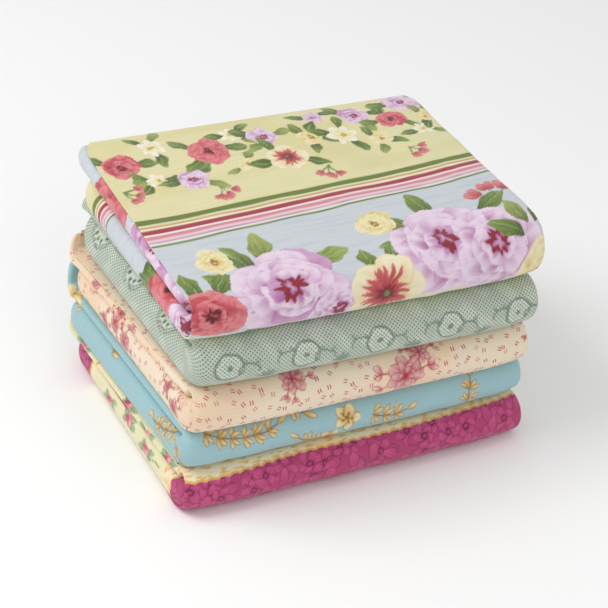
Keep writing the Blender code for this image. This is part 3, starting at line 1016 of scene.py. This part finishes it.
def rosette(x, y, radius, tones, seed):
    """A full flower: rows of broad cupped petals, the outer row first, round a ragged heart.
    tones go from pale to deep."""
    pale, middle, deep, heart = tones
    chance = np.random.default_rng(seed)
    rows = ((0.30, 0.70, 6, 1.0), (0.26, 0.52, 5, 0.95), (0.16, 0.42, 5, 0.8), (0.08, 0.34, 4, 0.6))
    for start, long, count, breadth in rows:
        turn = chance.uniform(0, 360)
        for i in range(count):
            angle = turn + 360 * i / count + chance.uniform(-16, 16)
            base = towards(x, y, angle, radius * start * chance.uniform(0.8, 1.2))
            reach = radius * long * chance.uniform(0.85, 1.15)
            wide = radius * breadth * chance.uniform(0.85, 1.15)
            kind = chance.choice(3, p=(0.15, 0.45, 0.4))
            low, high = ((deep, middle), (middle, pale), (deep, pale))[kind]
            dye.petal(*base, angle, reach, wide, low, high, full=0.3, rim=middle)
            for _ in range(2):
                way, line = angle + chance.uniform(-35, 35), reach * chance.uniform(0.5, 0.85)
                dye.petal(*base, way, line, radius * 0.09, deep, middle, full=0.6)
    dye.disc(x, y, radius * 0.13, heart, soft=radius * 0.08)
    for i in range(16):
        angle, reach = 22.5 * i + chance.uniform(-10, 10), radius * chance.uniform(0.14, 0.34)
        dye.petal(x, y, angle, reach, radius * 0.1, heart, heart, full=0.5)
    for i in range(4):
        angle = chance.uniform(0, 360)
        dye.petal(x, y, angle, radius * 0.16, radius * 0.07, middle, deep, full=0.6)


def leaves_round(x, y, radius, angles, long):
    """Veined leaves from under a flower."""
    for angle in angles:
        base = towards(x, y, angle, 0.7 * radius)
        greens = GREENS[int(angle + radius) % 4]
        leaf(*base, angle + 12, long, greens)
        for spread in (-14, -6, 5, 13):
            way, reach = angle + 12 + spread * 1.6, long * (0.85 - abs(spread) / 60)
            dye.petal(*base, way, reach, long * 0.05, *greens, full=0.7)


def pansy(x, y, radius, seed):
    """Broad petals, pale at the rim and red with fine streaks to the heart."""
    chance = np.random.default_rng(seed)
    for i in range(5):
        angle = 72 * i + chance.uniform(-8, 8)
        dye.petal(x, y, angle, radius, radius * 1.05, "E9C98C", "F5EBC8", full=0.32, rim="EBD9A6")
    for i in range(54):
        angle = 360 * i / 54 + chance.uniform(-4, 4)
        long = radius * chance.uniform(0.35, 0.78)
        dye.petal(x, y, angle, long, radius * 0.1, "9A2434", "CF5E62", full=0.5)
    for i in range(9):
        dye.petal(x, y, 40 * i, radius * 0.3, radius * 0.1, "5E0F1C", "9A2434", full=0.6)
    dye.disc(x, y, radius * 0.09, "6F8A3E")


def small_buds(x, y, turn, size):
    """Three pairs of nodding buds on short stems."""
    for angle in (turn - 32, turn + 10, turn + 48):
        end = towards(x, y, angle, size * 1.3)
        dye.stroke((x, y), end, 1.2, "66833A")
        for lean in (-26, 22):
            dye.petal(*end, angle + lean, size, size * 0.75, "B5394A", "E4908F", full=0.42, rim="C96468")


# The garland on the yellow field
for x, y, radius, kind in (
    (-124, 40, 15, REDS), (-104, 62, 9, "daisy"), (-92, 22, 11, "daisy"), (-78, 68, 13, MAUVES),
    (-52, 38, 16, REDS), (-30, 62, 8, YELLOWS), (-26, 22, 9, "daisy"), (-2, 30, 12, MAUVES),
    (4, 62, 17, "pansy"), (34, 42, 10, YELLOWS), (48, 16, 9, MAUVES), (60, 46, 13, "daisy"),
    (82, 22, 13, MAUVES), (86, 60, 9, YELLOWS), (108, 36, 12, REDS), (128, 14, 15, MAUVES),
    (126, 58, 9, "daisy"), (138, 40, 8, YELLOWS),
):
    turn = x * 7 % 360
    leaves_round(x, y, radius, (turn, turn + 140, turn + 215), 10 + radius * 0.75)
    if kind == "pansy":
        pansy(x, y, radius, 5)
    elif kind == "daisy":
        daisy(x, y, radius)
    else:
        rosette(x, y, radius, kind, x + 500)
# Its last buds, the large blooms on the blue field, and from x 386 on what the two beads show
for draw, *place in (
    (small_buds, -134, 70, 20, 7), (small_buds, -64, 84, 60, 7), (small_buds, 28, 84, 100, 7),
    (small_buds, 100, 80, 40, 7), (leaves_round, -66, 206, 40, (200, 235, 262, 330, 60, 120), 36),
    (leaves_round, 80, 204, 46, (185, 214, 250, 318, 20, 60), 36),
    (leaves_round, 8, 232, 26, (250, 285, 320, 60), 28), (leaves_round, -126, 216, 26, (215, 250, 290), 30),
    (rosette, -66, 208, 42, MAUVES, 31), (rosette, -30, 236, 24, MAUVES, 33),
    (rosette, 64, 200, 40, MAUVES, 47), (rosette, 104, 212, 36, MAUVES, 44), (pansy, 8, 230, 30, 6),
    (rosette, -128, 218, 25, REDS, 12), (rosette, -106, 164, 14, YELLOWS, 13),
    (rosette, 24, 164, 15, YELLOWS, 15), (small_buds, 128, 176, -100, 13),
    (leaves_round, 136, 214, 12, (200, 250, 300, 340), 30), (rosette, 148, 240, 26, YELLOWS, 17),
    (rosette, 414, 210, 32, REDS, 18), (rosette, 386, 274, 38, MAUVES, 19),
    (rosette, 404, 334, 30, MAUVES, 26), (leaf, 590, 206, 60, 34), (leaf, 612, 204, 110, 34),
    (leaf, 598, 204, 85, 36), (rosette, 616, 246, 30, REDS, 20), (rosette, 600, 292, 28, MAUVES, 24),
):
    draw(*place)
# The dyes are a little dull
dye.rgb *= 0.86
finish_cut(rose, dye, printed_cotton("rose printed cotton", streaks=0.04), "rose_cloth")


# Floor: a wide plain pale floor of matt paint, lit by soft studio lights.
bpy.ops.object.select_all(action="DESELECT")
FLOOR_SIZE, FLOOR_DROP = 12, 0.0002
bpy.ops.mesh.primitive_plane_add(size=FLOOR_SIZE, location=(0, 0, -FLOOR_DROP))
floor = bpy.context.object
floor.name = "floor"
floor_paint = bpy.data.materials.new("floor_paint")
floor_paint.use_nodes = True
paint = floor_paint.node_tree.nodes["Principled BSDF"].inputs
paint["Base Color"].default_value = (*linear("F9F9F9"), 1.0)
paint["Roughness"].default_value = 0.9
floor.data.materials.append(floor_paint)

world = bpy.data.worlds.new("studio")
bpy.context.scene.world = world
world.use_nodes = True
sky = world.node_tree.nodes["Background"].inputs
sky["Color"].default_value = (1.0, 1.0, 1.0, 1.0)
sky["Strength"].default_value = 0.66
bpy.context.scene.view_settings.view_transform = "Standard"


def area_light(name, location, target, size, power):
    """A soft white square light that faces the target."""
    data = bpy.data.lights.new(name, "AREA")
    data.size = size
    data.energy = power
    light = bpy.data.objects.new(name, data)
    light.location = location
    light.rotation_euler = (Vector(target) - Vector(location)).to_track_quat("-Z", "Y").to_euler()
    bpy.context.scene.collection.objects.link(light)


area_light("key", (-1.15, 0.3, 1.5), (-0.1, 0, 0.05), size=1.0, power=15.5)
area_light("fill", (0.1, -1.9, 1.3), (0, 0, 0.05), size=1.5, power=8)

# Camera: a long lens from the front left, a little turned about its axis.
AZIMUTH, ELEVATION, ROLL = math.radians(-31), math.radians(33.12), math.radians(5.84)
# It was fitted to cuts 0.28 m wide
SCALE = 0.285 / 0.28
DISTANCE = 1.623 * SCALE
FOCAL_PIXELS, IMAGE_PIXELS = 2156, 608
target = np.array([0.0015, -0.0009, 0.0859]) * SCALE + np.array([*STACK_SHIFT, 0.0])
camera_data = bpy.data.cameras.new("camera")
camera_data.lens = FOCAL_PIXELS / IMAGE_PIXELS * camera_data.sensor_width
camera = bpy.data.objects.new("camera", camera_data)
view = Matrix.Translation(target)
for angle, axis in ((AZIMUTH, "Z"), (math.pi / 2 - ELEVATION, "X"), (ROLL, "Z")):
    view @= Matrix.Rotation(angle, 4, axis)
camera.matrix_world = view @ Matrix.Translation((0, 0, DISTANCE))
bpy.context.scene.collection.objects.link(camera)
bpy.context.scene.camera = camera
